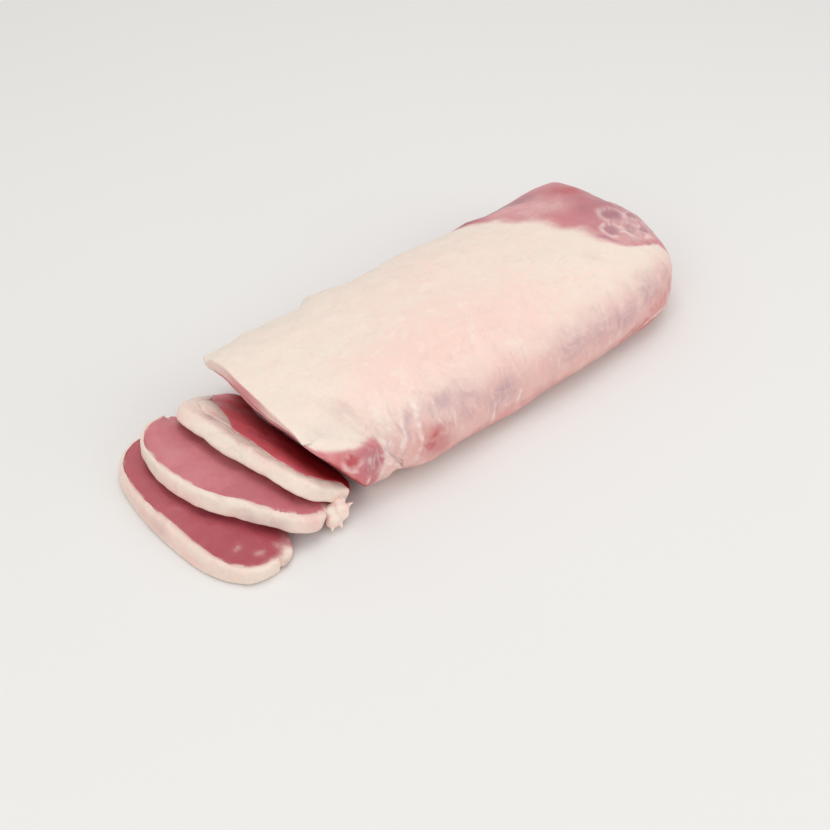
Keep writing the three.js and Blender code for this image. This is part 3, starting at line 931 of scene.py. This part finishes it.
slicePaint = {
    "rosy": [
        ((-136, 33, 28), (9, 12, 6), 0.8), ((-127, 24, 31), (6, 8, 5), 0.6),
        ((-122, -36, 26), (12, 14, 6), 0.4), ((-112, -60, 12), (7, 6, 8), 0.7),
        ((-166, -6, 15), (6, 16, 5), 0.95), ((-167, 12, 14), (5, 10, 5), 0.6),
        ((-156, -30, 12), (6, 8, 4), 0.6), ((-122, -64, 9), (8, 5, 6), 0.6),
        ((-174, 38, 8), (4, 14, 5), 0.8), ((-184, 10, 4), (4, 12, 4), 0.7),
        ((-182, -32, 3), (6, 12, 3), 0.8), ((-128, -10, 33), (4, 30, 3), 0.7),
    ],
    "bruiseAndShade": [
        ((-128, 21, 31), (3.5, 5, 3), 0.7), ((-124, 12, 31), (2.5, 6, 3), 0.25),
        ((-150, -40, 15), (6, 6, 5), 0.35), ((-140, -53, 15), (8, 5, 5), 0.3),
        ((-182, -6, 6), (4, 8, 4), 0.35), ((-114, -50, 22), (8, 7, 5), 0.3),
    ],
    "bloodAndShade": [((-150, -10, 9), (14, 22, 3), 0.2), ((-160, 30, 9), (14, 10, 3), 0.4)],
    # pinker fat at the front ends, and on the lowest rim pinker fat that is painted shade with a warm
    # reflected tint
    "side": [
        ((-128, -61, 14), (9, 7, 8), 0.5), ((-108, -59, 13), (6, 5, 6), 0.3),
        ((-134, -26, 26), (6, 10, 4), 0.35), ((-182, 0, 4), (8, 40, 6), 0.5),
        ((-168, -50, 4), (12, 16, 6), 0.4), ((-162, 34, 12), (5, 10, 8), 0.3),
    ],
    "wispy": [((-135, -20, 24), (40, 60, 30), 0.5)],
    # painted shade at the upper slice's back end, under the loin
    "hollowShade": [((-104, 28, 18), (9, 12, 6), 0.6)],
    "veil": [
        ((-163, -48, 9), (1.8, 1.3, 2), 0.5), ((-156, -57, 9), (2, 1.5, 2), 0.55),
        ((-147, -58, 8), (1.6, 2, 2), 0.5), ((-136, -56, 7), (3.5, 5, 5), 0.7),
        ((-142, -61, 8), (5, 4, 4), 0.7), ((-111, -46, 24), (2.5, 1.2, 2), 0.7),
        ((-155, 19, 21), (4, 5, 2), 0.25),
    ],
    # places where the fat laps over the meat
    "fat": [
        ((-107, -56, 12), (6, 4, 9), 0.9), ((-115, -61, 9), (6, 5, 8), 1.0),
        ((-150, -66, 5), (7, 4, 6), 0.8), ((-142, -64, 5), (6, 3.5, 5), 0.8),
    ],
    # (y, x) along the upper slice, where its fat really ends
    "lapLine": [(2, -131), (8, -124.5), (19, -120), (28, -118), (38, -116), (50, -113)],
    # share of painted shade, partly darker meat, at the back of a slice, and how much more at its front
    "shadeAndDarkMeat": {1: (0.15, 0.0), 2: (0.05, 0.25), 3: (0.75, 0.25)},
}


def lapOnMeat(points, number, near):
    # where a slice's fat covers its meat: at painted places, and in a ragged band along the fat
    lap = spotted(points, slicePaint["fat"], 55, 2)
    if number == 1:
        edge = along(points[:, 1], slicePaint["lapLine"]) + 1.2 * lumps(points, 7, 95)
        back = smooth((points[:, 1] - 2) / 3)
        lap = np.maximum(lap, smooth(0.5 + (edge - points[:, 0]) / 1.6) * back)
    return np.maximum(lap, smooth((0.8 + 1.5 * lumps(points, 13, 97) - near) / 1.1))


def paintSlice(piece, other, names):
    # what the fat and the meat share; returns the points, and how far each is from the other piece
    points = places(piece)
    near = distanceTo(points, other, 4)
    seeds = {"rosy": 57, "bruiseAndShade": 67, "bloodAndShade": 77, "veil": 87, "side": 59, "wispy": 69}
    for name in names:
        share = spotted(points, slicePaint[name], seeds[name], 2)
        if name == "rosy":
            share = np.maximum(share, np.exp(-(near / 1.6) ** 2) * 0.65)
        tint(piece, name, share)
    return points, near


def dressSliceFat(fat, number, other):
    points, _ = paintSlice(fat, other, ("rosy", "bruiseAndShade", "bloodAndShade", "veil", "side", "wispy"))
    tint(fat, "fat", np.ones(len(points)))
    stand(fat, f"slice_{number}_fat", porkFat)


def dressSliceMeat(meat, number, other, loinSkin):
    # only the upper slice's fat laps far enough over its meat for the bruise to show there
    bruised = ("bruiseAndShade",) if number == 1 else ()
    points, near = paintSlice(meat, other, ("rosy", "bloodAndShade", "veil", "side") + bruised)
    lap = lapOnMeat(points, number, near)
    tint(meat, "fat", lap)
    tint(meat, "mingled", lap * (1 - lap) * 3)
    # painted shade, red and dark, towards the loin which hangs over it, and painted light, brighter
    # red, around that shade
    shadow = (1 - smooth((distanceTo(points, loinSkin, 24) - 3) / 19)) * (1 - lap)
    hollowShade = smooth((shadow - 0.5) / 0.5)
    if number == 1:
        hollowShade = np.maximum(hollowShade, spotted(points, slicePaint["hollowShade"], 65, 2))
    tint(meat, "glow", smooth(shadow / 0.5))
    tint(meat, "hollowShade", hollowShade)
    base, more = slicePaint["shadeAndDarkMeat"][number]
    tint(meat, "shadeAndDarkMeat", base + more * smooth((-5 - points[:, 1]) / 40))
    stand(meat, f"slice_{number}_lean", porkMeat)


def makeSlice(number, shape, loinSkin):
    fat = fromSolid(f"slice_{number}_fat", f"slice{number}Fat")
    meat = fromSolid(f"slice_{number}_lean", f"slice{number}Meat")
    fatSkin = skinOf(fat)
    creaseSharp(fat, 50, 0.8, skinOf(meat))
    creaseSharp(meat, 50, 0.8, fatSkin)
    for piece in (fat, meat):
        refine(piece, 3)
    closeOn(meat, skinOf(fat), 0.9)
    for piece in (fat, meat):
        for place, radius, move in shape["bulges"][number]:
            bulge(piece, place, radius, move)
    if number == 1:
        bulge(meat, *shape["lap"])
    for piece in (fat, meat):
        makeUneven(piece, shape["drift"], 2)
    swell(fat, shape["fatRelief"], 2)
    swell(meat, shape["meatRelief"], 2)
    dressSliceFat(fat, number, skinOf(meat))
    dressSliceMeat(meat, number, skinOf(fat), loinSkin)


loinSkin = skinOf(loin)
for number in (1, 2, 3):
    makeSlice(number, sliceShape, loinSkin)
print("the slices are made")


# the frayed knot of fat where the front ends of the two upper slices meet

knotShape = {
    # (place, radii) of its lumps
    "lumps": [
        ((-108.5, -61, 8.5), (4.8, 4.2, 5.8)), ((-113, -61.5, 6), (4.8, 3.6, 4.6)),
        ((-107, -58, 12.5), (3.8, 3.2, 3)), ((-113, -58.5, 9.5), (4.4, 3.6, 3.8)),
    ],
    # (root, tip, thickness) of its frays
    "frays": [
        ((-106, -61, 9.5), (-101, -62, 11), 2.0), ((-111, -63, 4.5), (-112.5, -67, 3.5), 1.8),
        ((-115, -62, 4), (-117.5, -65, 3), 1.6), ((-105.5, -57, 13), (-104, -56, 17.5), 1.0),
    ],
    "tip": 0.3,  # thickness of a fray's tip
    "grain": 0.45,  # of the mesh
    "relief": [(4, 0.9, 33), (1.8, 0.25, 37)],
}


def makeKnot(shape):
    parts = []
    for place, radii in shape["lumps"]:
        deselectAll()
        bpy.ops.mesh.primitive_ico_sphere_add(subdivisions=3, radius=millimetre,
                                              location=Vector(place) * millimetre)
        bpy.ops.transform.resize(value=radii)
        parts.append(bpy.context.object)
    for root, tip, thickness in shape["frays"]:
        deselectAll()
        run = Vector(tip) - Vector(root)
        middle = (Vector(tip) + Vector(root)) / 2 * millimetre
        bpy.ops.mesh.primitive_cone_add(vertices=10, radius1=thickness * millimetre,
                                        radius2=shape["tip"] * millimetre,
                                        depth=run.length * millimetre, location=middle,
                                        rotation=run.to_track_quat("Z", "Y").to_euler())
        parts.append(bpy.context.object)
    deselectAll()
    for part in parts:
        part.select_set(True)
    bpy.context.view_layer.objects.active = parts[0]
    bpy.ops.object.join()
    knot = bpy.context.object
    knot.name = "sliceKnot"
    knot.data.name = "sliceKnot"
    bpy.ops.object.transform_apply(location=True, rotation=True, scale=True)
    applyModifier(knot, "REMESH", mode="VOXEL", voxel_size=shape["grain"] * millimetre)
    applyModifier(knot, "SMOOTH", factor=0.5, iterations=2)
    bpy.ops.object.shade_smooth()
    swell(knot, shape["relief"], 1)
    points = places(knot)
    tint(knot, "fat", np.ones(len(points)))
    tint(knot, "rosy", smooth(0.45 + lumps(points, 4, 39)) * 0.9)
    knot.data.materials.append(porkFat)
    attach(knot, "root")


makeKnot(knotShape)
print("the frayed end is made")

for piece in bpy.data.objects:
    if piece.type == "MESH" and not piece.hide_render:
        piece.data.calc_loop_triangles()
        print(piece.name, len(piece.data.loop_triangles), "triangles")
